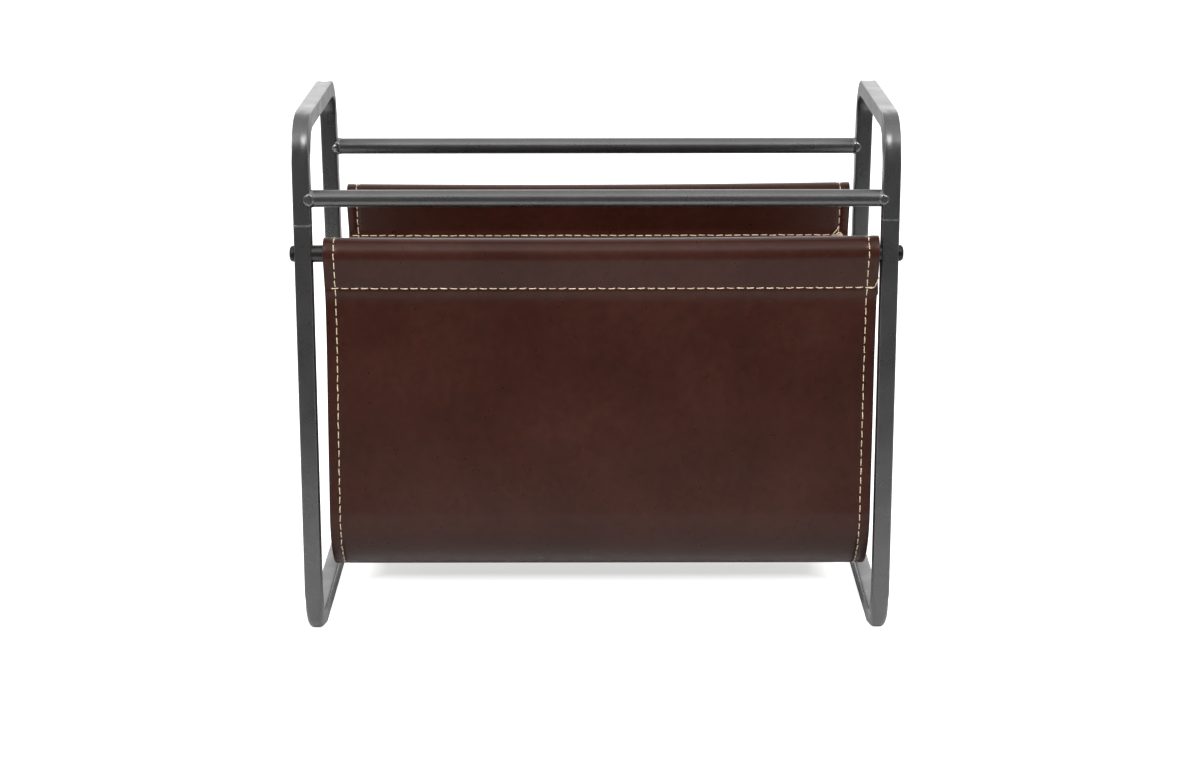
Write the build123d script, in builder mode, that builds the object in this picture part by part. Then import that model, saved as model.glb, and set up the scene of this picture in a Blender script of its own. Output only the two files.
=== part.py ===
"""Magazine rack: two bent square-tube side frames joined by two round rails, with a leather
sling that hangs from two bolted rods.

Frame: origin on the floor at the middle of the rack, X along its length, Y from the front
(negative) to the back, Z up. Millimetres.
"""
from build123d import *

import os

# ---- driving dimensions -------------------------------------------------------------------
# side frames: 11 mm square tube bent into a closed loop that is wider at the floor
tube = 11.0
tube_wall = 1.2
tube_corner_radius = 1.0
rack_length = 385.0  # over the outer faces of the side frames
rack_height = 345.0
floor_half_depth = 98.0  # upright centreline, at the height of the bottom bar's axis
top_half_depth = 80.0  # upright centreline, at the height of the top bar's axis
bend_radius = 25.0  # outside of the bend

# round bars across the rack
rail_diameter = 11.0
rail_wall = 1.0
rail_heights = {"front": 293.0, "rear": 295.5}
rod_diameter = 11.0
rod_height = 257.6

# welds
rail_weld_radius = 7.6
frame_weld_heights = {"left": 276.5, "right": 280.0}
frame_weld_width = 1.6
frame_weld_rise = 0.3

# M6 button head screws that hold the sling rods
screw_diameter = 6.0
screw_clearance_hole = 6.4
screw_length = 20.0
tapped_depth = screw_length - tube + 2.0
screw_head_diameter = 10.5
screw_head_height = 3.3
screw_head_rim = 0.9  # straight side of the head, below its dome
screw_crown_radius = 2.9  # flat round the socket
socket_across_flats = 4.0
socket_depth = 2.0

# sling: an outer leather and a lining leather, sewn together
ply = 2.0
sling_length = 354.0
sling_shift = 2.4  # the sling hangs a little to the right on its rods
sling_bottom_height = 34.5
sling_corner = (98.0, 38.0)  # where the lines of the bottom and of the panel meet
sling_corner_radius = 48.0
sling_waist = (87.5, 228.0)  # where the panel is drawn in most, at the end of the hem
sling_waist_radius = 30.0
hem_seam_height = 234.0
hem_end_height = 227.0
hem_top_height = 239.0
hem_gap = 0.2

# stitching
thread_width = 1.0
thread_rise = 0.5
stitch_inset = 6.8

# ---- worked out from the above ------------------------------------------------------------
frame_x = (rack_length - tube) / 2
inner_face_x = rack_length / 2 - tube
bottom_axis_height = tube / 2
top_axis_height = rack_height - tube / 2
upright_lean = (floor_half_depth - top_half_depth) / (top_axis_height - bottom_axis_height)


def upright_y(height):
    """Distance of an upright's centreline from the middle of the rack at a height."""
    return floor_half_depth - upright_lean * (height - bottom_axis_height)


# lines of the outside of the loop, which the bends are rounded from
lean_stretch = (1 + upright_lean**2) ** 0.5
outer_floor_y = upright_y(0) + tube / 2 * lean_stretch
outer_top_y = upright_y(rack_height) + tube / 2 * lean_stretch

sides = {"left": -1, "right": 1}
ends = {"front": -1, "rear": 1}

os.makedirs("parts", exist_ok=True)


def save(builder, name):
    """Label a finished piece and write it under its own name."""
    builder.part.label = name
    export_step(builder.part, f"parts/{name}.step")


def upright_plane(side, end, height):
    """Plane across an upright at a height: its normal runs up along the upright."""
    return Plane(
        origin=(side * frame_x, end * upright_y(height), height),
        x_dir=(1, 0, 0),
        z_dir=(0, -end * upright_lean, 1),
    )


# ---- side frames --------------------------------------------------------------------------
frame_corners = [
    (-outer_floor_y, 0),
    (outer_floor_y, 0),
    (outer_top_y, rack_height),
    (-outer_top_y, rack_height),
]

for side_name, side in sides.items():
    with BuildPart() as side_frame:
        side_plane = Plane.YZ.offset(side * frame_x)
        with BuildSketch(side_plane) as bar:
            Polygon(*frame_corners, align=None)
            fillet(bar.vertices(), bend_radius)
            offset(amount=-tube, mode=Mode.SUBTRACT)
        extrude(amount=tube / 2, both=True)
        flat_faces = side_frame.faces().filter_by(Axis.X)
        fillet(flat_faces.edges(), tube_corner_radius)
        with BuildSketch(side_plane) as hollow:
            Polygon(*frame_corners, align=None)
            fillet(hollow.vertices(), bend_radius)
            offset(amount=-tube_wall, mode=Mode.REPLACE)
            offset(amount=2 * tube_wall - tube, mode=Mode.SUBTRACT)
        extrude(amount=tube / 2 - tube_wall, both=True, mode=Mode.SUBTRACT)
        with BuildSketch(side_plane):
            for end in ends.values():
                with Locations((end * upright_y(rod_height), rod_height)):
                    Circle(screw_clearance_hole / 2)
        extrude(amount=tube, both=True, mode=Mode.SUBTRACT)
    save(side_frame, f"{side_name}_side_frame")

    # the loop is closed by a butt weld round its front upright
    with BuildPart() as frame_weld:
        with BuildSketch(upright_plane(side, ends["front"], frame_weld_heights[side_name])):
            weld_size = tube + 2 * frame_weld_rise
            RectangleRounded(weld_size, weld_size, tube_corner_radius + frame_weld_rise)
            RectangleRounded(tube, tube, tube_corner_radius, mode=Mode.SUBTRACT)
        extrude(amount=frame_weld_width / 2, both=True)
    save(frame_weld, f"{side_name}_frame_weld")

# ---- top rails and their welds ------------------------------------------------------------
for end_name, end in ends.items():
    rail_height = rail_heights[end_name]
    rail_y = end * upright_y(rail_height)
    rail_plane = Plane.YZ.offset(-inner_face_x)
    with BuildPart() as top_rail:
        with BuildSketch(rail_plane):
            with Locations((rail_y, rail_height)):
                Circle(rail_diameter / 2)
                Circle(rail_diameter / 2 - rail_wall, mode=Mode.SUBTRACT)
        extrude(amount=2 * inner_face_x)
    save(top_rail, f"{end_name}_top_rail")

    # each rail end has a weld bead that runs over the faces of the upright
    for side_name, side in sides.items():
        with BuildPart() as rail_weld:
            with Locations((side * inner_face_x, rail_y, rail_height)):
                Sphere(rail_weld_radius, rotation=(0, 90, 0))
                Cylinder(
                    rail_diameter / 2,
                    4 * rail_weld_radius,
                    rotation=(0, 90, 0),
                    mode=Mode.SUBTRACT,
                )
            with Locations(upright_plane(side, end, rail_height)):
                Box(tube, tube, 4 * rail_weld_radius, mode=Mode.SUBTRACT)
        save(rail_weld, f"{end_name}_{side_name}_rail_weld")

# ---- sling rods and their screws ----------------------------------------------------------
for end_name, end in ends.items():
    rod_y = end * upright_y(rod_height)
    with BuildPart() as sling_rod:
        with BuildSketch(Plane.YZ.offset(-inner_face_x)):
            with Locations((rod_y, rod_height)):
                Circle(rod_diameter / 2)
        extrude(amount=2 * inner_face_x)
        for rod_end in sling_rod.faces().filter_by(Axis.X):
            with Locations(Plane(rod_end)):
                Hole(screw_diameter / 2, depth=tapped_depth)
    save(sling_rod, f"{end_name}_sling_rod")

    for side_name, side in sides.items():
        head_seat = (side * rack_length / 2, rod_y, rod_height)
        outwards = (side, 0, 0)
        with BuildPart() as sling_screw:
            # half section: local Y runs outwards along the screw
            with BuildSketch(Plane(head_seat, x_dir=(0, 1, 0), z_dir=(0, 0, -side))):
                with BuildLine():
                    Polyline(
                        (screw_crown_radius, screw_head_height),
                        (0, screw_head_height),
                        (0, -screw_length),
                        (screw_diameter / 2, -screw_length),
                        (screw_diameter / 2, 0),
                        (screw_head_diameter / 2, 0),
                        (screw_head_diameter / 2, screw_head_rim),
                    )
                    TangentArc(
                        (screw_head_diameter / 2, screw_head_rim),
                        (screw_crown_radius, screw_head_height),
                        tangent=(0, 1),
                    )
                make_face()
            revolve(axis=Axis(head_seat, outwards))
            with BuildSketch(Plane(head_seat, x_dir=(0, 1, 0), z_dir=outwards).offset(screw_head_height)):
                RegularPolygon(socket_across_flats / 2, 6, major_radius=False)
            extrude(amount=-socket_depth, mode=Mode.SUBTRACT)
        save(sling_screw, f"{end_name}_{side_name}_sling_screw")

# ---- sling --------------------------------------------------------------------------------
# The outer face is one line seen from the side. From the middle of the bottom it runs round
# the lower corner, in at the waist, up over the rod and down the inside to the end of the hem.
rod_centre = (upright_y(rod_height), rod_height)
loop_radius = rod_diameter / 2 + 2 * ply
loop = CenterArc(rod_centre, loop_radius, 0, 360)


def touch_loop(point, pick):
    """Where a straight line from a point below the rod touches the loop over the rod."""
    line = ConstrainedLines(loop, point, selector=lambda lines: lines.sort_by(Axis.X)[pick])
    return Vector(line.vertices().sort_by(Axis.Y)[-1])


panel_top = touch_loop(sling_waist, -1)
panel_direction = (panel_top - Vector(*sling_waist)).normalized()
inwards = panel_direction.rotate(Axis.Z, 90)


def panel_point(height):
    """Point of the panel's outer face at a height above the waist."""
    return Vector(*sling_waist) + panel_direction * (height - sling_waist[1]) / panel_direction.Y


hem_offset = inwards * (4 * ply + hem_gap)
hem_end = panel_point(hem_end_height) + hem_offset
hem_top = panel_point(hem_top_height) + hem_offset
hem_tangent = touch_loop(hem_top, 0)

with BuildLine() as outer_face:
    FilletPolyline(
        (0, sling_bottom_height),
        sling_corner,
        sling_waist,
        panel_top,
        radius=[sling_corner_radius, sling_waist_radius],
    )
    ThreePointArc(panel_top, (rod_centre[0], rod_height + loop_radius), hem_tangent)
    Polyline(hem_tangent, hem_top, hem_end)
    mirror(about=Plane.YZ)

sling_plane = Plane.YZ.offset(sling_shift)

with BuildPart() as sling_leather:
    with BuildSketch(sling_plane):
        with BuildLine():
            add(outer_face.line)
            offset(amount=ply, side=Side.RIGHT)
        make_face()
    extrude(amount=sling_length / 2, both=True)
save(sling_leather, "sling_leather")

with BuildPart() as sling_lining:
    with BuildSketch(sling_plane):
        with BuildLine():
            add(outer_face.line)
            offset(amount=2 * ply, side=Side.RIGHT)
        make_face()
    extrude(amount=sling_length / 2, both=True)
    add(sling_leather.part, mode=Mode.SUBTRACT)
save(sling_lining, "sling_lining")

# ---- stitching ----------------------------------------------------------------------------
stitch_x = sling_length / 2 - stitch_inset
for side_name, side in sides.items():
    with BuildPart() as edge_stitching:
        with BuildSketch(sling_plane.offset(side * stitch_x)):
            with BuildLine():
                add(outer_face.line)
                offset(amount=thread_rise, side=Side.LEFT)
            make_face()
        extrude(amount=thread_width / 2, both=True)
    save(edge_stitching, f"{side_name}_edge_stitching")

for end_name, end in ends.items():
    with BuildPart() as hem_stitching:
        with BuildSketch(sling_plane):
            lower = panel_point(hem_seam_height - thread_width / 2)
            upper = panel_point(hem_seam_height + thread_width / 2)
            rise = inwards * thread_rise
            thread_corners = (lower, upper, upper - rise, lower - rise)
            Polygon(*[(end * corner.X, corner.Y) for corner in thread_corners], align=None)
        extrude(amount=stitch_x - thread_width / 2, both=True)
    save(hem_stitching, f"{end_name}_hem_stitching")

print(f"sling: cut {outer_face.wires()[0].length:.0f} mm long by {sling_length:.0f} mm wide")
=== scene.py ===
"""Magazine rack: bent square-tube side frames, two round rails and a two-ply leather sling.

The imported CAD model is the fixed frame. The tubes, weld beads, leather and every stitch are
built here round it, in metres. Lengths named in millimetres are multiplied by MM once.
"""
import math
import random

import bpy
import numpy as np
from mathutils import Matrix, Vector, noise


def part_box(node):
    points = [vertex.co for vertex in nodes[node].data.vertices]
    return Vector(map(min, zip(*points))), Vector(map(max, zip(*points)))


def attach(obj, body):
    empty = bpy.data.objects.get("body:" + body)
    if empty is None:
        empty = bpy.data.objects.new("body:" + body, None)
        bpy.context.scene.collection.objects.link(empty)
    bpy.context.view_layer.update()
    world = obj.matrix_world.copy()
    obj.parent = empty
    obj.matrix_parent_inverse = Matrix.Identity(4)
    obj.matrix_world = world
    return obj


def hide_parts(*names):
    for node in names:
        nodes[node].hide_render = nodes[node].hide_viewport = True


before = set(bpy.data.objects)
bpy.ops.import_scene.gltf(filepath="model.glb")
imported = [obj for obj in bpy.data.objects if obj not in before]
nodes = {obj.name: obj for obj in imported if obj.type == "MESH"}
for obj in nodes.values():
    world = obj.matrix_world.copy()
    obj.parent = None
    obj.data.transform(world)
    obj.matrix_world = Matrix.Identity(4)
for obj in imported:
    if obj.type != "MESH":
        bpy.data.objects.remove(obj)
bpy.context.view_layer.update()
scene = bpy.context.scene

MM = 0.001
SIDES = {"left": -1, "right": 1}
ENDS = {"front": -1, "rear": 1}

# ---- sizes in millimetres -----------------------------------------------------------------
TUBE = 11.0
TUBE_EDGE_RADIUS = 1.0
RACK_HEIGHT = 345.0
FLOOR_HALF_DEPTH = 98.0
TOP_HALF_DEPTH = 80.0
BEND_RADIUS = 19.5  # of the tube's centreline
PLY = 2.0
SLING_LENGTH = 354.0
SLING_BOTTOM = 34.5
SLING_CORNER = (98.0, 38.0)
SLING_CORNER_RADIUS = 48.0
SLING_WAIST = (87.5, 228.0)
SLING_WAIST_RADIUS = 30.0
SLEEVE_RADIUS = 10.2
SLEEVE_DROP = 0.7  # the sleeve's round is larger than the rod, so it hangs below its centre
HEM_SEAMS = {"front": 235.2, "rear": 229.7}  # heights
HEM_BELOW_SEAM = 7.0
HEM_ABOVE_SEAM = 3.0  # where the flap meets the panel
HEM_GAP = 0.3
STITCH_PITCH = 6.3
STITCH_INSET = 6.8
THREAD_RADIUS = 0.36

rod_low, rod_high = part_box("front_sling_rod")
ROD_Y = -(rod_low.y + rod_high.y) / 2 / MM
ROD_Z = (rod_low.z + rod_high.z) / 2 / MM
frame_low, frame_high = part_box("right_side_frame")
FRAME_X = (frame_low.x + frame_high.x) / 2 / MM
UPRIGHT_LEAN = (FLOOR_HALF_DEPTH - TOP_HALF_DEPTH) / (RACK_HEIGHT - TUBE)


def upright_y(height):
    """Distance of an upright's centreline from the middle of the rack."""
    return FLOOR_HALF_DEPTH - UPRIGHT_LEAN * (height - TUBE / 2)


# ---- camera -------------------------------------------------------------------------------
CAMERA_PLACE = Vector((0.75, -1557.1, 606.3)) * MM
CAMERA_PITCH = math.radians(16.483)
CAMERA_YAW = math.radians(0.054)
CAMERA_ROLL = math.radians(0.057)
CAMERA_LENS = 71.0

camera_data = bpy.data.cameras.new("camera")
camera_data.lens = CAMERA_LENS
camera_data.sensor_width = 36.0
camera_data.clip_end = 100.0
camera = bpy.data.objects.new("camera", camera_data)
scene.collection.objects.link(camera)
camera.matrix_world = (
    Matrix.Translation(CAMERA_PLACE)
    @ Matrix.Rotation(-CAMERA_YAW, 4, "Z")
    @ Matrix.Rotation(math.pi / 2 - CAMERA_PITCH, 4, "X")
    @ Matrix.Rotation(-CAMERA_ROLL, 4, "Z")
)
scene.camera = camera


# ---- node helpers -------------------------------------------------------------------------
class Nodes:
    """Short calls that add and join shader nodes."""

    def __init__(self, tree):
        self.tree = tree

    def add(self, kind, inputs=None, **settings):
        node = self.tree.nodes.new(kind)
        for name, value in settings.items():
            setattr(node, name, value)
        for name, value in (inputs or {}).items():
            if isinstance(value, bpy.types.NodeSocket):
                self.tree.links.new(value, node.inputs[name])
            else:
                node.inputs[name].default_value = value
        return node

    def math(self, operation, a, b=0.0):
        return self.add("ShaderNodeMath", {0: a, 1: b}, operation=operation).outputs[0]

    def noise(self, place, scale, detail=4.0, roughness=0.55):
        node = self.add(
            "ShaderNodeTexNoise",
            {"Vector": place, "Scale": scale, "Detail": detail, "Roughness": roughness},
        )
        return node.outputs["Fac"]

    def cells(self, place, scale):
        node = self.add("ShaderNodeTexVoronoi", {"Vector": place, "Scale": scale}, feature="F1")
        return node.outputs["Distance"]

    def remap(self, value, low, high, to_low, to_high):
        node = self.add(
            "ShaderNodeMapRange",
            {"Value": value, "From Min": low, "From Max": high, "To Min": to_low, "To Max": to_high},
        )
        return node.outputs["Result"]

    def ramp(self, value, *stops):
        node = self.add("ShaderNodeValToRGB", {"Fac": value})
        elements = node.color_ramp.elements
        while len(elements) < len(stops):
            elements.new(0.5)
        for element, (position, colour) in zip(elements, stops):
            element.position = position
            element.color = (*colour, 1.0)
        return node.outputs["Color"]

    def mix(self, share, a, b, blend="MIX"):
        node = self.add("ShaderNodeMix", data_type="RGBA", blend_type=blend)
        for socket, value in zip((node.inputs[0], node.inputs[6], node.inputs[7]), (share, a, b)):
            if isinstance(value, bpy.types.NodeSocket):
                self.tree.links.new(value, socket)
            else:
                socket.default_value = value if isinstance(value, float) else (*value, 1.0)
        return node.outputs[2]

    def bump(self, height, distance, strength=1.0, normal=None):
        inputs = {"Height": height, "Distance": distance, "Strength": strength}
        if normal is not None:
            inputs["Normal"] = normal
        return self.add("ShaderNodeBump", inputs).outputs["Normal"]


def new_material(name):
    """An empty material with its Principled shader, and object coordinates."""
    material = bpy.data.materials.new(name)
    material.use_nodes = True
    material.node_tree.nodes.clear()
    n = Nodes(material.node_tree)
    shader = n.add("ShaderNodeBsdfPrincipled")
    n.add("ShaderNodeOutputMaterial", {"Surface": shader.outputs["BSDF"]})
    place = n.add("ShaderNodeTexCoord").outputs["Object"]
    return material, n, shader, place


def link(n, source, shader, socket):
    """Join a node's output to one of the shader's sockets."""
    n.tree.links.new(source, shader.inputs[socket])


# ---- materials ----------------------------------------------------------------------------
def paint_material():
    """Semi-gloss gunmetal paint with a fine orange peel and rubbed patches."""
    material, n, shader, place = new_material("gunmetal_paint")
    cloud = n.noise(place, 18.0, 5.0)
    flake = n.noise(place, 1400.0, 2.0)
    colour = n.ramp(cloud, (0.3, (0.132, 0.131, 0.134)), (0.7, (0.170, 0.168, 0.171)))
    glint = n.ramp(flake, (0.35, (0.10, 0.10, 0.103)), (0.7, (0.22, 0.22, 0.224)))
    colour = n.mix(0.2, colour, glint)
    link(n, colour, shader, "Base Color")
    link(n, n.remap(n.noise(place, 60.0, 4.0), 0.3, 0.7, 0.25, 0.34), shader, "Roughness")
    shader.inputs["Metallic"].default_value = 0.9
    shader.inputs["Specular IOR Level"].default_value = 0.5
    peel = n.noise(place, 300.0, 2.0)
    waves = n.noise(place, 45.0, 2.0)
    normal = n.bump(waves, 0.0003, 0.15)
    link(n, n.bump(peel, 0.00003, 0.3, normal), shader, "Normal")
    return material


def rod_painted_shade_material():
    """The rods' steel, duller than the painted frame and darker: painted shade from the sleeves
    round them.
    """
    material, n, shader, place = new_material("rod_steel_painted_shade")
    streaks = n.noise(place, 80.0, 5.0, 0.6)
    # the dark colour is painted shade from the sleeves; the streaks vary it at random
    colour = n.ramp(streaks, (0.3, (0.045, 0.043, 0.041)), (0.7, (0.085, 0.082, 0.078)))
    link(n, colour, shader, "Base Color")
    link(n, n.remap(streaks, 0.3, 0.7, 0.38, 0.26), shader, "Roughness")
    shader.inputs["Metallic"].default_value = 0.9
    link(n, n.bump(n.noise(place, 600.0, 3.0), 0.00005, 0.5), shader, "Normal")
    return material


def weld_material():
    """The same paint over a rippled bead, a little glossier on its crests and lighter there: a
    painted highlight.
    """
    material, n, shader, place = new_material("painted_weld")
    lumps = n.noise(place, 260.0, 4.0)
    # the lighter colour on the crests is a painted highlight
    colour = n.ramp(lumps, (0.3, (0.13, 0.13, 0.134)), (0.72, (0.28, 0.28, 0.285)))
    link(n, colour, shader, "Base Color")
    link(n, n.remap(lumps, 0.3, 0.7, 0.32, 0.16), shader, "Roughness")
    shader.inputs["Metallic"].default_value = 0.9
    shader.inputs["Specular IOR Level"].default_value = 0.5
    link(n, n.bump(lumps, 0.0005, 0.5), shader, "Normal")
    return material


def screw_material():
    """Black oxide steel, slightly worn on the dome."""
    material, n, shader, place = new_material("black_oxide")
    wear = n.noise(place, 420.0, 5.0)
    colour = n.ramp(wear, (0.35, (0.012, 0.012, 0.013)), (0.75, (0.035, 0.033, 0.032)))
    link(n, colour, shader, "Base Color")
    link(n, n.remap(wear, 0.3, 0.75, 0.22, 0.42), shader, "Roughness")
    shader.inputs["Metallic"].default_value = 0.7
    link(n, n.bump(n.noise(place, 1500.0, 2.0), 0.00003, 0.5), shader, "Normal")
    return material


def leather_material(name, tone):
    """Finished brown leather: soft mottling, pebble grain, pores and a waxy sheen."""
    material, n, shader, place = new_material(name)
    cloud = n.noise(place, 14.0, 5.0, 0.6)
    blotch = n.noise(place, 45.0, 3.0, 0.6)
    pores = n.noise(place, 900.0, 3.0, 0.6)
    dark = (0.043 * tone, 0.0108 * tone, 0.0060 * tone)
    middle = (0.056 * tone, 0.0147 * tone, 0.0085 * tone)
    light = (0.068 * tone, 0.0195 * tone, 0.0120 * tone)
    colour = n.ramp(cloud, (0.28, dark), (0.5, middle), (0.72, light))
    fine = n.noise(place, 210.0, 3.0)
    mottle = n.ramp(fine, (0.32, (0.88, 0.88, 0.90)), (0.68, (1.12, 1.10, 1.08)))
    colour = n.mix(1.0, colour, mottle, "MULTIPLY")
    spots = n.ramp(blotch, (0.60, (0.0, 0.0, 0.0)), (0.74, (1.0, 1.0, 1.0)))
    colour = n.mix(n.math("MULTIPLY", spots, 0.30), colour, (0.036, 0.0135, 0.0085))
    speck = n.ramp(pores, (0.30, (0.93, 0.93, 0.93)), (0.65, (1.04, 1.04, 1.04)))
    colour = n.mix(0.8, colour, speck, "MULTIPLY")
    link(n, colour, shader, "Base Color")
    rough = n.remap(n.noise(place, 120.0, 4.0), 0.3, 0.7, 0.27, 0.36)
    link(n, rough, shader, "Roughness")
    shader.inputs["Specular IOR Level"].default_value = 0.28
    grain = n.cells(place, 800.0)
    pebble = n.noise(place, 600.0, 2.0, 0.5)
    height = n.math("ADD", n.math("MULTIPLY", grain, 0.4), pebble)
    normal = n.bump(n.noise(place, 22.0, 2.0), 0.0006, 0.35)
    link(n, n.bump(height, 0.00004, 0.4, normal), shader, "Normal")
    return material


def leather_edge_material():
    """Cut leather edge: dyed, burnished, with its fibres showing faintly."""
    material, n, shader, place = new_material("burnished_leather_edge")
    fibre = n.noise(place, 1300.0, 4.0, 0.65)
    colour = n.ramp(fibre, (0.3, (0.020, 0.008, 0.006)), (0.75, (0.060, 0.028, 0.019)))
    link(n, colour, shader, "Base Color")
    link(n, n.remap(fibre, 0.3, 0.7, 0.5, 0.7), shader, "Roughness")
    link(n, n.bump(fibre, 0.0002, 0.6), shader, "Normal")
    return material


def thread_material():
    """Waxed cream thread, a little dirtier in places."""
    material, n, shader, place = new_material("cream_thread")
    dirt = n.noise(place, 160.0, 4.0)
    fuzz = n.noise(place, 3000.0, 2.0)
    colour = n.ramp(dirt, (0.3, (0.44, 0.33, 0.20)), (0.7, (0.68, 0.56, 0.39)))
    shade = n.ramp(fuzz, (0.3, (0.72, 0.72, 0.72)), (0.65, (1.0, 1.0, 1.0)))
    link(n, n.mix(0.6, colour, shade, "MULTIPLY"), shader, "Base Color")
    link(n, n.remap(dirt, 0.3, 0.7, 0.7, 0.58), shader, "Roughness")
    shader.inputs["Sheen Weight"].default_value = 0.2
    link(n, n.bump(fuzz, 0.00008, 0.5), shader, "Normal")
    return material


paint = paint_material()
weld_paint = weld_material()
rod_painted_shade = rod_painted_shade_material()
black_oxide = screw_material()
leather = leather_material("brown_leather", 0.53)
lining = leather_material("brown_lining", 0.64)
leather_edge = leather_edge_material()
thread = thread_material()


# ---- mesh helpers -------------------------------------------------------------------------
def make_piece(name, points, faces, materials, replaced, face_material=None):
    """A mesh object from points in millimetres, riding on the rack in place of its CAD node."""
    mesh = bpy.data.meshes.new(name)
    mesh.from_pydata([tuple(p) for p in np.asarray(points, float) * MM], [], faces)
    for material in materials:
        mesh.materials.append(material)
    mesh.polygons.foreach_set("use_smooth", [True] * len(mesh.polygons))
    if face_material is not None:
        mesh.polygons.foreach_set("material_index", face_material)
    mesh.update()
    piece = bpy.data.objects.new(name, mesh)
    scene.collection.objects.link(piece)
    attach(piece, "root")
    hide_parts(*replaced)
    return piece


def ring_faces(rings, around, closed_along):
    """Quads between rings of points, each ring closed on itself."""
    faces = []
    for i in range(rings if closed_along else rings - 1):
        a = i * around
        b = (i + 1) % rings * around
        for j in range(around):
            k = (j + 1) % around
            faces.append((a + j, b + j, b + k, a + k))
    return faces


def fillet_path(corners, radii, step, closed=False):
    """Points along a line with rounded corners: straight runs and arcs, step apart."""
    count = len(corners)
    pts = [np.array(c, float) for c in corners]
    path = []
    for i in range(count):
        if not closed and i in (0, count - 1):
            path.append([pts[i]])
            continue
        before, here, after = pts[i - 1], pts[i], pts[(i + 1) % count]
        u = (before - here) / np.linalg.norm(before - here)
        v = (after - here) / np.linalg.norm(after - here)
        half = math.acos(float(np.clip(u @ v, -1, 1))) / 2
        middle = (u + v) / np.linalg.norm(u + v)
        centre = here + middle * radii[i] / math.sin(half)
        start = here + u * radii[i] / math.tan(half) - centre
        stop = here + v * radii[i] / math.tan(half) - centre
        sweep = math.pi - 2 * half
        turn = math.copysign(1.0, float(start[0] * stop[1] - start[1] * stop[0]))
        arcs = max(2, round(radii[i] * sweep / step))
        arc = []
        for k in range(arcs + 1):
            angle = turn * sweep * k / arcs
            c, s = math.cos(angle), math.sin(angle)
            turned = (c * start[0] - s * start[1], s * start[0] + c * start[1])
            arc.append(centre + np.array(turned))
        path.append(arc)
    if closed:
        path.append([path[0][0]])
    line = []
    for i, run in enumerate(path):
        if line:
            gap = run[0] - line[-1]
            parts = max(1, round(float(np.linalg.norm(gap)) / step))
            line += [line[-1] + gap * k / parts for k in range(1, parts)]
        line += run
    return np.array(line[:-1] if closed else line)


def wobble(x, y, z, size, seed):
    """Smooth noise from -1 to 1 that varies over about that size."""
    return noise.noise(Vector((x / size + seed, y / size, z / size)))


# ---- side frames --------------------------------------------------------------------------
WALL_SINK = {"low": 0.25, "high": 1.1}  # how far a bend's outer wall is drawn in
WALL_TAPER = {"low": 0.10, "high": 0.08}  # share by which a bend's outer wall is narrowed
WALL_ROUND = {"low": 2.6, "high": 0.4}  # how far the edges of that wall are drawn in further
WALL_BULGE = 0.5  # how far a bend's sides and inner wall swell
WALL_DENT = 0.10  # how deep the soft dents of the walls are
WALL_STEPS = 8
EDGE_STEPS = 4
BEND_BLEND = 5  # points to either side over which a bend fades into the straights


def tube_section():
    """The square tube's outline as (across, outwards) points with rounded edges."""
    half = TUBE / 2
    flat = half - TUBE_EDGE_RADIUS
    points = []
    for quarter in range(4):
        turn = quarter * math.pi / 2
        c, s = math.cos(turn), math.sin(turn)
        outline = [(half, -flat + 2 * flat * k / WALL_STEPS) for k in range(WALL_STEPS)]
        for k in range(EDGE_STEPS + 1):
            angle = math.pi / 2 * k / EDGE_STEPS
            reach = (TUBE_EDGE_RADIUS * math.cos(angle), TUBE_EDGE_RADIUS * math.sin(angle))
            outline.append((flat + reach[0], flat + reach[1]))
        points += [(c * a - s * b, s * a + c * b) for a, b in outline[:-1]]
    return np.array(points)


def build_side_frame(side_name, side):
    """One closed loop of bent square tube."""
    low_y = upright_y(TUBE / 2)
    high_y = upright_y(RACK_HEIGHT - TUBE / 2)
    low_z, high_z = TUBE / 2, RACK_HEIGHT - TUBE / 2
    corners = [(-low_y, low_z), (low_y, low_z), (high_y, high_z), (-high_y, high_z)]
    line = fillet_path(corners, [BEND_RADIUS] * 4, 1.6, closed=True)
    ahead = np.roll(line, -1, 0)
    behind = np.roll(line, 1, 0)
    along = ahead - behind
    along /= np.linalg.norm(along, axis=1)[:, None]
    outwards = np.stack([along[:, 1], -along[:, 0]], 1)
    bend = np.linalg.norm(np.cross(ahead - line, line - behind)[:, None], axis=1)
    bend = (bend > 1e-4).astype(float)
    # 1 in a bend, 0 on the straights, and a smooth change between them
    kernel = np.hanning(2 * BEND_BLEND + 1)
    kernel /= kernel.sum()
    pad = 2 * BEND_BLEND
    bend = np.convolve(np.concatenate([bend[-pad:], bend, bend[:pad]]), kernel, "same")[pad:-pad]
    section = tube_section()
    half = TUBE / 2
    points = []
    for i, (y, z) in enumerate(line):
        bend_name = "low" if z < RACK_HEIGHT / 2 else "high"
        sink = WALL_SINK[bend_name]
        taper = WALL_TAPER[bend_name]
        edge_round = WALL_ROUND[bend_name]
        for across, out in section:
            crown = max(0.0, 1 - (across / half) ** 2)
            shift = 0.0
            if out > half - TUBE_EDGE_RADIUS:
                shift = -sink * bend[i] * crown**1.5
            elif out < TUBE_EDGE_RADIUS - half:
                shift = -WALL_BULGE * bend[i] * crown
            shift -= edge_round * bend[i] * max(0.0, out / half) ** 2 * (across / half) ** 4
            swell = WALL_BULGE * bend[i] * max(0.0, 1 - ((out + 2.0) / half) ** 2)
            across += math.copysign(swell, across) if abs(across) > half - 0.5 else 0.0
            across *= 1 - taper * bend[i] * max(0.0, (out + half) / TUBE) ** 1.5
            dent = WALL_DENT * wobble(y, z, across, 24.0, 3.0 + side)
            place = line[i] + outwards[i] * (out + shift + dent)
            points.append((side * FRAME_X + across, place[0], place[1]))
    faces = [face[::-1] for face in ring_faces(len(line), len(section), True)]
    name = f"{side_name}_frame_tube"
    return make_piece(name, points, faces, [paint], [f"{side_name}_side_frame"])


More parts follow.
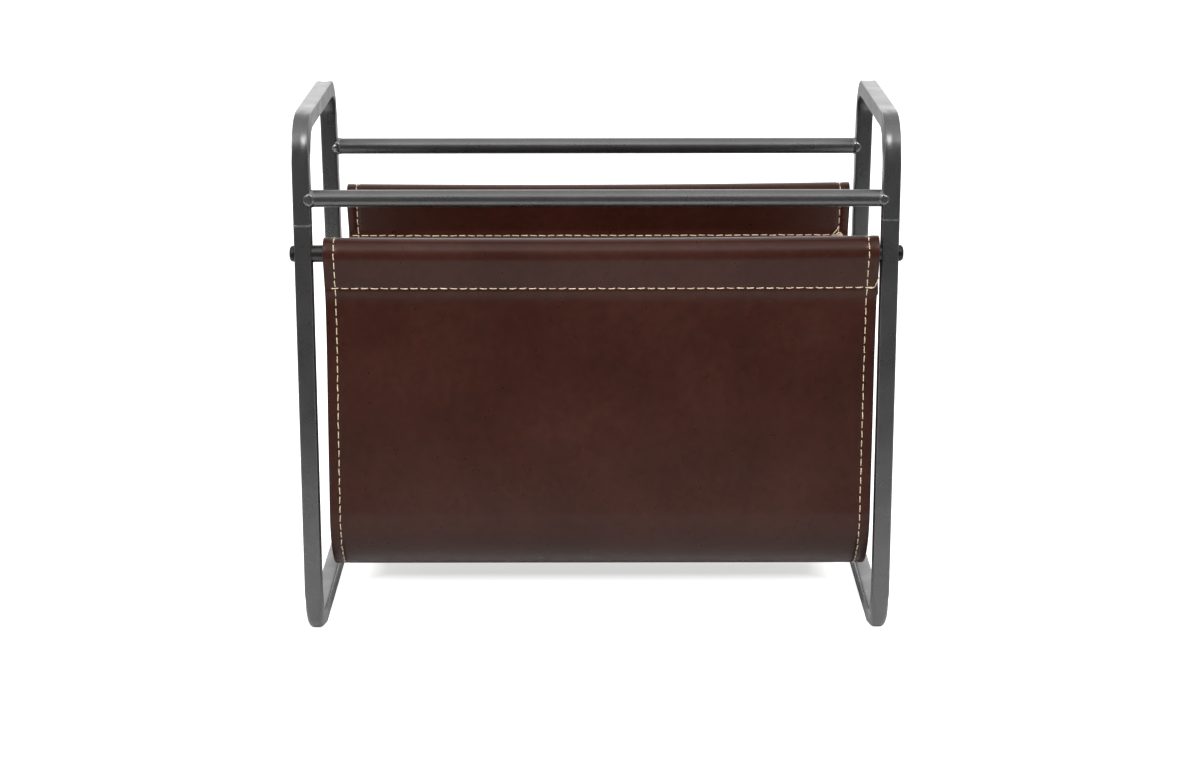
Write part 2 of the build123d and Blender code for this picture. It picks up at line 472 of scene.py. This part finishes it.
# ---- welds --------------------------------------------------------------------------------
# radii along x, y and z, and how lumpy each bead is
BEADS = {
    ("front", "left"): ((6.2, 7.8, 5.7), 0.10),
    ("front", "right"): ((6.2, 7.0, 5.5), 0.16),
    ("rear", "left"): ((5.8, 7.2, 5.9), 0.85),
    ("rear", "right"): ((5.6, 7.0, 5.9), 0.16),
}
BEAD_NECK = 5.8  # the bead's depth where it meets the rail
BEAD_FLAT = 6.0  # beyond this a bead's front is pressed flat on the upright
SEAM_HALF_WIDTH = 0.8  # of the butt weld
SEAM_RISE = 0.28  # of its crest above its edges
SEAM_ROOT = 0.12  # how far its edges lie below the tube's face
SEAM_DEPTH = 0.8  # how far it reaches into the tube's wall


def build_rail_weld(end_name, end, side_name, side):
    """A lumpy bead round the rail's end that laps over the upright's faces."""
    node = f"{end_name}_{side_name}_rail_weld"
    rail_low, rail_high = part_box(f"{end_name}_top_rail")
    centre = (rail_low + rail_high) / 2 / MM
    centre.x = side * (FRAME_X - TUBE / 2)
    radii, rough = BEADS[end_name, side_name]
    rings, around = 36, 48

    def bead_point(polar, turn):
        way = Vector(
            (math.cos(polar), math.sin(polar) * math.cos(turn), math.sin(polar) * math.sin(turn))
        )
        lump = noise.noise(way * 2.2 + Vector((7.0 * end, 3.0 * side, 0.0)))
        ripple = math.sin(9.0 * turn + 4.0 * way.x) * math.sin(polar) ** 2
        stretch = 1 + rough * (0.16 * lump + 0.035 * ripple)
        x, y, z = (way[k] * radii[k] * stretch for k in range(3))
        # towards the rail the bead blends into its round
        over_rail = min(1.0, max(0.0, -2.2 * side * way.x))
        y *= 1 + (BEAD_NECK / radii[1] - 1) * over_rail
        if abs(y) > BEAD_FLAT:
            y = math.copysign(BEAD_FLAT + 0.3 * (abs(y) - BEAD_FLAT), y)
        return (centre.x + x, centre.y + y, centre.z + z)

    points = [
        bead_point(math.pi * i / rings, 2 * math.pi * j / around)
        for i in range(1, rings)
        for j in range(around)
    ]
    faces = ring_faces(rings - 1, around, False)
    last = (rings - 2) * around
    for j in range(around):
        k = (j + 1) % around
        faces.append((len(points), j, k))
        faces.append((len(points) + 1, last + k, last + j))
    points += [bead_point(0.0, 0.0), bead_point(math.pi, 0.0)]
    return make_piece(f"{node}_bead", points, faces, [weld_paint], [node])


def build_frame_weld(side_name, side):
    """The butt weld that closes the loop: a low uneven seam round the front upright."""
    node = f"{side_name}_frame_weld"
    low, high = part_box(node)
    height = (low.z + high.z) / 2 / MM
    section = tube_section()
    # the crest's rings run up the outside, and one ring inside the wall closes them
    crest = [(t, SEAM_RISE * (1 - t * t) - SEAM_ROOT) for t in np.linspace(-1, 1, 9)]
    rings = [*crest, (0.0, -SEAM_DEPTH)]
    points = []
    for t, rise in rings:
        for across, out in section:
            lump = 1 + 0.5 * wobble(across, out, side * 9.0, 2.5, 11.0)
            grow = 1 + rise * lump / (TUBE / 2)
            drift = 0.35 * wobble(across, out, 0.0, 5.0, 23.0 + side)
            z = height + SEAM_HALF_WIDTH * t + drift
            y = -upright_y(z) - out * grow
            points.append((side * FRAME_X + across * grow, y, z))
    faces = ring_faces(len(rings), len(section), True)
    return make_piece(f"{node}_seam", points, faces, [weld_paint], [node])


for side_name, side in SIDES.items():
    build_side_frame(side_name, side)
    build_frame_weld(side_name, side)
    for end_name, end in ENDS.items():
        build_rail_weld(end_name, end, side_name, side)

# the rails, rods and screws stay as they are in the CAD, and only get their materials
CAD_MATERIALS = {"top_rail": paint, "sling_rod": rod_painted_shade, "screw": black_oxide}
for name, node in nodes.items():
    for ending, material in CAD_MATERIALS.items():
        if name.endswith(ending):
            node.data.materials.clear()
            node.data.materials.append(material)

# ---- sling line ---------------------------------------------------------------------------
SLEEVE_CENTRE = np.array((ROD_Y, ROD_Z - SLEEVE_DROP))


def touch(point, centre, radius, pick):
    """Where a straight line from a point touches a circle; pick is 1 or -1 for its side."""
    away = np.array(point) - centre
    reach = math.hypot(*away)
    angle = math.atan2(away[1], away[0]) + pick * math.acos(radius / reach)
    return centre + radius * np.array((math.cos(angle), math.sin(angle)))


def sling_line():
    """The sling's outer face from the front hem's end to the rear hem's end, as (y, z)."""
    panel_top = touch(SLING_WAIST, SLEEVE_CENTRE, SLEEVE_RADIUS, 1)
    panel_way = panel_top - np.array(SLING_WAIST)
    panel_way /= np.linalg.norm(panel_way)
    inwards = np.array((-panel_way[1], panel_way[0]))

    def on_panel(height):
        return np.array(SLING_WAIST) + panel_way * (height - SLING_WAIST[1]) / panel_way[1]

    hem_shift = inwards * (4 * PLY + HEM_GAP)
    panel = fillet_path(
        [(0.0, SLING_BOTTOM), SLING_CORNER, SLING_WAIST, tuple(panel_top)],
        [0.0, SLING_CORNER_RADIUS, SLING_WAIST_RADIUS, 0.0],
        1.5,
    )
    start = math.atan2(*(panel_top - SLEEVE_CENTRE)[::-1])
    half_lines = []
    for seam in HEM_SEAMS.values():
        hem_top = on_panel(seam + HEM_ABOVE_SEAM) + hem_shift
        hem_touch = touch(hem_top, SLEEVE_CENTRE, SLEEVE_RADIUS, -1)
        stop = math.atan2(*(hem_touch - SLEEVE_CENTRE)[::-1]) % (2 * math.pi)
        arcs = round(SLEEVE_RADIUS * (stop - start) / 0.9)
        angles = start + (stop - start) * np.arange(1, arcs) / arcs
        loop = SLEEVE_CENTRE + SLEEVE_RADIUS * np.stack([np.cos(angles), np.sin(angles)], 1)
        hem_end = on_panel(seam - HEM_BELOW_SEAM) + hem_shift
        hem = fillet_path([tuple(hem_touch), tuple(hem_top), tuple(hem_end)], [0.0, 4.0, 0.0], 1.0)
        half_lines.append(np.concatenate([panel, loop, hem]))
    front, rear = half_lines
    return np.concatenate([front[:0:-1] * (-1, 1), rear])


line = sling_line()
gaps = np.linalg.norm(np.diff(line, axis=0), axis=1)
travel = np.concatenate([[0.0], np.cumsum(gaps)])
line_along = np.gradient(line, travel, axis=0)
line_along /= np.linalg.norm(line_along, axis=1)[:, None]
line_out = np.stack([line_along[:, 1], -line_along[:, 0]], 1)


def panel_travel(end, height):
    """How far along the line the front or rear panel's outer face passes a height."""
    panel = (end * line[:, 0] > ROD_Y - 8.0) & (end * line_along[:, 1] > 0)
    picked = np.where(panel & (end * line_out[:, 0] > 0))[0]
    return travel[picked[np.argmin(abs(line[picked, 1] - height))]]


PANEL_SEAMS = {name: panel_travel(ENDS[name], HEM_SEAMS[name]) for name in ENDS}
FLAP_SEAMS = {"front": HEM_BELOW_SEAM, "rear": travel[-1] - HEM_BELOW_SEAM}
ALL_SEAMS = [*PANEL_SEAMS.values(), *FLAP_SEAMS.values()]
EDGE_LINE = SLING_LENGTH / 2 - STITCH_INSET


SEAM_PULL = 0.45  # how far a seam draws the outer leather in
SEAM_SWELL = 0.35  # share of that by which the lining swells there
SEAM_REACH = 1.5
SLING_SHIFT = 1.7  # how far the sling's bottom lies right of the rack's middle
SLEEVE_SHIFT = {"front": 1.3, "rear": -0.4}  # how much further right each sleeve hangs
FLAP_STAND = 1.2  # how far the front flap's end runs out further at the right
PANEL_DRAW = 0.4  # how much each half of a panel narrows below its sleeve


def sling_place(s, x, depth):
    """Point of the sling s along its outer face, x across it and depth below that face."""
    y = np.interp(s, travel, line[:, 0])
    z = np.interp(s, travel, line[:, 1])
    out_y = np.interp(s, travel, line_out[:, 0])
    out_z = np.interp(s, travel, line_out[:, 1])
    sleeve = np.clip((z - 225.0) / 30.0, 0, 1)
    share = x / (SLING_LENGTH / 2)
    # a free panel waves gently, and each sleeve curls up a little at its ends
    low = np.clip((235.0 - z) / 60.0, 0, 1) * np.clip((z - 45.0) / 60.0, 0, 1)
    wave = low * (0.8 * np.sin(x / 71.0 + 1.1 + s / 130.0) + 0.5 * np.sin(x / 33.0 - s / 90.0))
    wave = wave + 0.9 * low * share**4 * np.sin(s / 47.0)
    lift = sleeve * (0.2 + 1.2 * share**2 + 0.5 * share)
    # stitching draws the leather in along each seam
    to_edge_line = np.minimum(abs(x - EDGE_LINE), abs(x + EDGE_LINE))
    seam_pull = np.exp(-((to_edge_line / SEAM_REACH) ** 2))
    for seam in ALL_SEAMS:
        seam_pull = np.maximum(seam_pull, np.exp(-(((s - seam) / SEAM_REACH) ** 2)))
    pull = SEAM_PULL * seam_pull * np.where(depth < PLY, 1.0, -SEAM_SWELL)
    offset = wave - pull - depth
    flap = FLAP_STAND * np.exp(-((s / 9.0) ** 2)) * np.clip(share, 0, 1)
    sleeve_shift = np.where(y < 0, SLEEVE_SHIFT["front"], SLEEVE_SHIFT["rear"])
    shift = flap + SLING_SHIFT + sleeve_shift * np.clip((z - 40.0) / 210.0, 0, 1)
    narrow = 1.0 - PANEL_DRAW * np.exp(-(((z - 200.0) / 45.0) ** 2)) / (SLING_LENGTH / 2)
    return np.stack([x * narrow + shift, y + out_y * offset, z + out_z * offset + lift], -1)


# ---- sling leathers -----------------------------------------------------------------------
RIM_STEPS = 3  # of each quarter round at a leather's edge


def spaced_with_detail(low, high, step, fine_at, fine_reach, fine_step):
    """Positions from low to high, step apart, and closer together near the seams."""
    marks = set(np.round(np.linspace(low, high, round((high - low) / step) + 1), 4))
    for middle in fine_at:
        marks = {m for m in marks if abs(m - middle) > fine_reach or m in (low, high)}
        fine = np.arange(-fine_reach, fine_reach + 1e-6, fine_step) + middle
        marks |= {m for m in np.round(fine, 4) if low <= m <= high}
    ordered = np.array(sorted(marks))
    keep = np.concatenate([[True], np.diff(ordered) > fine_step * 0.4])
    return ordered[keep]


def build_ply(name, node, top, bottom, material):
    """One leather of the sling: a closed sheet between two depths, with rounded edges."""
    round_edge = 0.45
    half = SLING_LENGTH / 2
    edge_lines = (-EDGE_LINE, EDGE_LINE)
    across = spaced_with_detail(-half + round_edge, half - round_edge, 5.0, edge_lines, 3.0, 0.6)
    rows = spaced_with_detail(round_edge, travel[-1] - round_edge, 1.6, ALL_SEAMS, 3.0, 0.6)
    rim = []
    for k in range(1, RIM_STEPS + 1):
        angle = math.pi / 2 * k / RIM_STEPS
        rim.append((round_edge * math.sin(angle), round_edge * (1 - math.cos(angle))))
    ring_x = list(across) + [half - round_edge + a for a, _ in rim]
    ring_d = [top] * len(across) + [top + b for _, b in rim]
    ring_x += [half - round_edge + a for a, _ in reversed(rim)]
    ring_d += [bottom - b for _, b in reversed(rim)]
    ring_x += list(across[::-1]) + [-half + round_edge - a for a, _ in rim]
    ring_d += [bottom] * len(across) + [bottom - b for _, b in rim]
    ring_x += [-half + round_edge - a for a, _ in reversed(rim)]
    ring_d += [top + b for _, b in reversed(rim)]
    ring_x, ring_d = np.array(ring_x), np.array(ring_d)
    middle = (top + bottom) / 2
    flat = (bottom - top) / 2
    # the first and last rows draw in to round the ends
    ends = [(-a, 1 - b / flat) for a, b in reversed(rim)]
    all_rows = [(rows[0] + a, share) for a, share in ends]
    all_rows += [(s, 1.0) for s in rows]
    all_rows += [(rows[-1] - a, share) for a, share in reversed(ends)]
    points = [
        sling_place(np.full(len(ring_x), s), ring_x, middle + (ring_d - middle) * share)
        for s, share in all_rows
    ]
    around = len(ring_x)
    faces = ring_faces(len(all_rows), around, False)
    # faces in the rounded edge show cut leather, the rest its finished face
    at_edge = abs(ring_x) >= half - round_edge * 0.6
    per_ring = [int(at_edge[j] and at_edge[(j + 1) % around]) for j in range(around)]
    face_material = per_ring * (len(all_rows) - 1)
    # close both ends between the outer and the inner face
    count, edge = len(across), 2 * RIM_STEPS
    inner = 2 * count + edge - 1
    caps = [(j, j + 1, inner - j - 1, inner - j) for j in range(count - 1)]
    caps.append(range(count - 1, count + edge + 1))
    caps.append([j % around for j in range(inner, inner + edge + 2)])
    for first, flip in ((0, False), ((len(all_rows) - 1) * around, True)):
        for cap in caps:
            face = tuple(first + c for c in cap)
            faces.append(face[::-1] if flip else face)
            face_material.append(1)
    materials = [material, leather_edge]
    points = np.concatenate(points)
    return make_piece(name, points, faces, materials, [node], face_material)


outer_leather = build_ply("outer_leather", "sling_leather", 0.0, PLY, leather)
lining_leather = build_ply("lining_leather", "sling_lining", PLY, 2 * PLY, lining)


# ---- stitching ----------------------------------------------------------------------------
STRANDS = 3
THREAD_TWIST = 2.4  # radians per millimetre
THREAD_SIDES = 12
THREAD_END = 0.55  # how much thinner a thread is at its ends
HOLE_MARGIN = 0.09  # share of the pitch that each stitch leaves free at a hole
HOLE_DEPTH = 0.75  # how far a stitch dips into its holes
STITCH_RISE = 1.12  # from there to its crest
STITCH_STEPS = 11
SEAM_START = 1.2  # from a hem's end to the first stitch of the edge seams
LINING_SEAM_START = 1.5  # from the hem's end down to the first stitch on the lining
LINING_FACE = 2 * PLY
# how far the hem seams run past the edge seams at their left and right ends
HEM_OVERRUN = {"front": (3.4, 4.4), "rear": (5.0, 0.6)}
random.seed(4)


def thread_tube(path):
    """Points and faces of a twisted thread along a path."""
    path = np.array(path, float)
    along = np.gradient(path, axis=0)
    along /= np.linalg.norm(along, axis=1)[:, None]
    helper = np.array((0.31, 0.52, 0.79))
    side = np.cross(along, helper)
    side /= np.linalg.norm(side, axis=1)[:, None]
    up = np.cross(side, along)
    travelled = np.concatenate([[0.0], np.cumsum(np.linalg.norm(np.diff(path, axis=0), axis=1))])
    angles = 2 * np.pi * np.arange(THREAD_SIDES) / THREAD_SIDES
    points = []
    for i in range(len(path)):
        turn = angles - THREAD_TWIST * travelled[i]
        radius = THREAD_RADIUS * (0.86 + 0.16 * abs(np.cos(STRANDS * turn / 2)))
        if i in (0, len(path) - 1):
            radius = radius * THREAD_END
        sideways = np.outer(radius * np.cos(angles), side[i])
        upwards = np.outer(radius * np.sin(angles), up[i])
        points.append(path[i] + sideways + upwards)
    faces = ring_faces(len(path), THREAD_SIDES, False)
    last = (len(path) - 1) * THREAD_SIDES
    faces.append(tuple(range(THREAD_SIDES)))
    faces.append(tuple(last + j for j in range(THREAD_SIDES))[::-1])
    return np.concatenate(points), faces


class ThreadWork:
    """Collects the threads that make one piece."""

    def __init__(self):
        self.points = []
        self.faces = []
        self.count = 0

    def add(self, path):
        points, faces = thread_tube(path)
        self.points.append(points)
        self.faces += [tuple(self.count + f for f in face) for face in faces]
        self.count += len(points)

    def stitch(self, start, stop, depth, outwards):
        """One stitch between two (s, x) holes, on the face at that depth."""
        start, stop = np.array(start), np.array(stop)
        way = stop - start
        across = np.array((-way[1], way[0])) / np.linalg.norm(way)
        slant = random.uniform(-0.22, 0.22)
        drift = random.uniform(-0.12, 0.12)
        path = []
        for k in range(STITCH_STEPS + 1):
            t = k / STITCH_STEPS
            hump = max(0.0, math.sin(math.pi * t)) ** 0.45
            share = HOLE_MARGIN + (1 - 2 * HOLE_MARGIN) * t
            spot = start + way * share + across * (drift + slant * (t - 0.5) * 2)
            rise = STITCH_RISE * hump - HOLE_DEPTH
            path.append(sling_place(spot[0], spot[1], depth - outwards * rise))
        self.add(path)

    def finish(self, name, node):
        points = np.concatenate(self.points)
        return make_piece(name, points, self.faces, [thread], [node])


def stitch_run(work, start, stop, depth, outwards):
    """Stitches all along a straight seam from one (s, x) to another."""
    start, stop = np.array(start, float), np.array(stop, float)
    length = float(np.linalg.norm(stop - start))
    count = round(length / STITCH_PITCH)
    way = (stop - start) / count
    for k in range(count):
        work.stitch(start + way * k, start + way * (k + 1), depth, outwards)


for side_name, side in SIDES.items():
    work = ThreadWork()
    x = side * EDGE_LINE
    stitch_run(work, (SEAM_START, x), (travel[-1] - SEAM_START, x), 0.0, 1)
    below = HEM_BELOW_SEAM + LINING_SEAM_START
    inside = (PANEL_SEAMS["front"] + below, x), (PANEL_SEAMS["rear"] - below, x)
    stitch_run(work, *inside, LINING_FACE, -1)
    work.finish(
        f"{side_name}_edge_stitches", f"{side_name}_edge_stitching"
    )

# The hem threads end loose at the right end of their seam: the front one in a tail, the rear one
# in a tail and a small knot of two loops. Each point says how far it lies along the seam, below it
# and off the leather.
LOOSE_THREADS = {
    "front": [
        [
            (-4.5, 0.0, 0.2), (-1.8, -0.3, 0.6), (0.2, 0.6, 0.7),
            (1.2, 3.0, 0.8), (2.0, 5.4, 0.9), (2.8, 7.6, 0.6),
        ],
    ],
    "rear": [
        [(-1.0, -5.6, 0.3), (-2.0, -3.6, 1.2), (-3.6, -1.6, 1.6), (-4.9, 0.3, 0.4)],
        [
            (-2.6, -0.1, 0.9), (-1.0, -1.3, 1.3), (0.9, -1.0, 1.2),
            (2.0, 0.2, 0.9), (0.6, 0.9, 1.3), (-1.4, 0.5, 1.1),
        ],
        [
            (-1.8, 0.8, 0.8), (-0.2, 0.2, 1.9), (1.3, -0.6, 1.4),
            (0.2, -1.5, 0.9), (-1.4, -0.8, 1.5), (2.6, 0.9, 0.5),
        ],
    ],
}


def smooth_run(points, parts):
    """A curve through points (Catmull-Rom), with that many parts to each span."""
    points = np.array(points, float)
    padded = np.concatenate([[2 * points[0] - points[1]], points, [2 * points[-1] - points[-2]]])
    curve = []
    for a, b, c, d in zip(padded, padded[1:], padded[2:], padded[3:]):
        for t in np.arange(parts) / parts:
            square = (2 * a - 5 * b + 4 * c - d) * t**2
            cube = (3 * b - a - 3 * c + d) * t**3
            curve.append(0.5 * (2 * b + (c - a) * t + square + cube))
    return np.array(curve + [points[-1]])


def add_loose_thread(work, seam, right, run):
    """A loose thread on the sling's outer face, by the right end of a seam."""
    down = 1 if seam > travel[-1] / 2 else -1
    path = []
    for along, below, off in smooth_run(run, 6):
        path.append(sling_place(seam + down * below, right + along, -off))
    work.add(path)


# the loose threads lie on the faces that look forward
LOOSE_SEAMS = {"front": PANEL_SEAMS["front"], "rear": FLAP_SEAMS["rear"]}
for end_name in ENDS:
    work = ThreadWork()
    left_overrun, right_overrun = HEM_OVERRUN[end_name]
    left = -EDGE_LINE - left_overrun
    right = EDGE_LINE + right_overrun
    for seam in (PANEL_SEAMS[end_name], FLAP_SEAMS[end_name]):
        stitch_run(work, (seam, left), (seam, right), 0.0, 1)
    for run in LOOSE_THREADS[end_name]:
        add_loose_thread(work, LOOSE_SEAMS[end_name], right, run)
    work.finish(f"{end_name}_hem_stitches", f"{end_name}_hem_stitching")

# ---- floor and flag -----------------------------------------------------------------------
FLOOR_REACH = 25.0
FLAG_REACH, FLAG_PLACE, FLAG_HEIGHT = 3.0, -0.5, 0.6


def stage_plane(name, corners, material):
    """A flat four-cornered part of the stage."""
    mesh = bpy.data.meshes.new(name)
    mesh.from_pydata(corners, [], [(0, 1, 2, 3)])
    mesh.materials.append(material)
    plane = bpy.data.objects.new(name, mesh)
    scene.collection.objects.link(plane)
    return plane


floor_material, n, shader, place = new_material("white_floor")
tone = n.ramp(n.noise(place, 3.0, 3.0), (0.3, (0.57, 0.57, 0.567)), (0.7, (0.60, 0.60, 0.597)))
link(n, tone, shader, "Base Color")
shader.inputs["Emission Color"].default_value = (1.0, 1.0, 0.995, 1.0)
# the floor glows white for the camera, but less in a box under the back half of the sling: a painted
# shadow there
spot = n.add("ShaderNodeSeparateXYZ", {"Vector": place}).outputs
beside = n.remap(n.math("ABSOLUTE", spot["X"]), 0.150, 0.172, 0.0, 1.0)
before = n.remap(spot["Y"], 0.018, 0.0, 0.0, 1.0)
behind = n.remap(spot["Y"], 0.09, 0.13, 0.0, 1.0)
open_floor = n.math("MAXIMUM", beside, n.math("MAXIMUM", before, behind))
whitening = n.remap(open_floor, 0.0, 1.0, 0.50, 0.95)
seen = n.add("ShaderNodeLightPath").outputs["Is Camera Ray"]
link(n, n.math("MULTIPLY", seen, whitening), shader, "Emission Strength")
shader.inputs["Roughness"].default_value = 0.6
shader.inputs["Specular IOR Level"].default_value = 0.2
square = ((-1, -1), (1, -1), (1, 1), (-1, 1))
stage_plane("floor", [(x * FLOOR_REACH, y * FLOOR_REACH, 0) for x, y in square], floor_material)

# a dark flag in front that shows only in reflections
flag_material, n, shader, place = new_material("dark_flag")
shader.inputs["Base Color"].default_value = (0.0, 0.0, 0.0, 1.0)
shader.inputs["Specular IOR Level"].default_value = 0.0
rise = n.add("ShaderNodeSeparateXYZ", {"Vector": place}).outputs["Z"]
flag_glow = n.ramp(rise, (0.0, (0.36, 0.36, 0.36)), (0.05, (0.092, 0.092, 0.094)))
link(n, flag_glow, shader, "Emission Color")
shader.inputs["Emission Strength"].default_value = 1.0
flag_corners = ((-1, 0.0), (1, 0.0), (1, FLAG_HEIGHT), (-1, FLAG_HEIGHT))
flag = stage_plane("flag", [(x * FLAG_REACH, FLAG_PLACE, z) for x, z in flag_corners], flag_material)
flag.visible_camera = False
flag.visible_diffuse = False
flag.visible_shadow = False

# ---- light --------------------------------------------------------------------------------
# The studio is a tunnel of light along X: dark behind the camera, bright overhead and behind.
# Each row holds the degrees turned from there, over the top, and the brightness.
STUDIO_GLOW = (
    (5.0, 0.10), (18.0, 0.45), (28.0, 1.5), (40.0, 1.7), (52.0, 1.4), (70.0, 1.3),
    (90.0, 1.15), (108.0, 1.0), (145.0, 1.0), (162.0, 2.1), (180.0, 1.9),
)
GLOW_UNIT = 2.2  # keeps the ramp's colours below 1
STUDIO_STRENGTH = 1.95
BACKDROP_STRENGTH = 1.2

world = bpy.data.worlds.new("studio")
scene.world = world
world.use_nodes = True
world.node_tree.nodes.clear()
n = Nodes(world.node_tree)
axes = n.add("ShaderNodeSeparateXYZ", {"Vector": n.add("ShaderNodeTexCoord").outputs["Generated"]})
height = axes.outputs["Z"]
towards = n.math("MULTIPLY", axes.outputs["Y"], -1.0)
angle = n.math("DIVIDE", n.math("ARCTAN2", height, towards), math.pi)
glow = n.ramp(angle, *((turn / 180.0, (power / GLOW_UNIT,) * 3) for turn, power in STUDIO_GLOW))
spread = n.remap(n.math("ABSOLUTE", axes.outputs["X"]), 0.30, 0.85, 1.0, 0.75)
seen = n.add("ShaderNodeLightPath").outputs["Is Camera Ray"]
strength = n.math("MULTIPLY", spread, STUDIO_STRENGTH)
studio = n.add("ShaderNodeBackground", {"Color": glow, "Strength": strength})
white = (1.0, 1.0, 1.0, 1.0)
backdrop = n.add("ShaderNodeBackground", {"Color": white, "Strength": BACKDROP_STRENGTH})
both = n.add("ShaderNodeMixShader", {0: seen, 1: studio.outputs[0], 2: backdrop.outputs[0]})
n.add("ShaderNodeOutputWorld", {"Surface": both.outputs[0]})


def area_light(name, place, target, size, power):
    """A rectangular light of that size in metres and power in watts, turned to its target."""
    light_data = bpy.data.lights.new(name, "AREA")
    light_data.shape = "RECTANGLE"
    light_data.size, light_data.size_y = size
    light_data.energy = power
    light = bpy.data.objects.new(name, light_data)
    scene.collection.objects.link(light)
    light.location = place
    light.rotation_euler = (Vector(target) - Vector(place)).to_track_quat("-Z", "Y").to_euler()
    return light


# a wide soft light overhead that leaves no highlight of its own
key = area_light("overhead_key", (0.0, -1.35, 1.6), (0.0, -0.05, 0.25), (1.8, 0.7), 44.0)
key.visible_glossy = False
# and two softboxes that only show as highlights on bends, welds and screw heads
for side_name, side in SIDES.items():
    place = (side * 1.1, -1.3, 1.45)
    box = area_light(f"{side_name}_softbox", place, (0.0, 0.0, 0.3), (0.45, 0.9), 10.0)
    box.visible_diffuse = False

scene.view_settings.view_transform = "Standard"
scene.view_settings.look = "None"
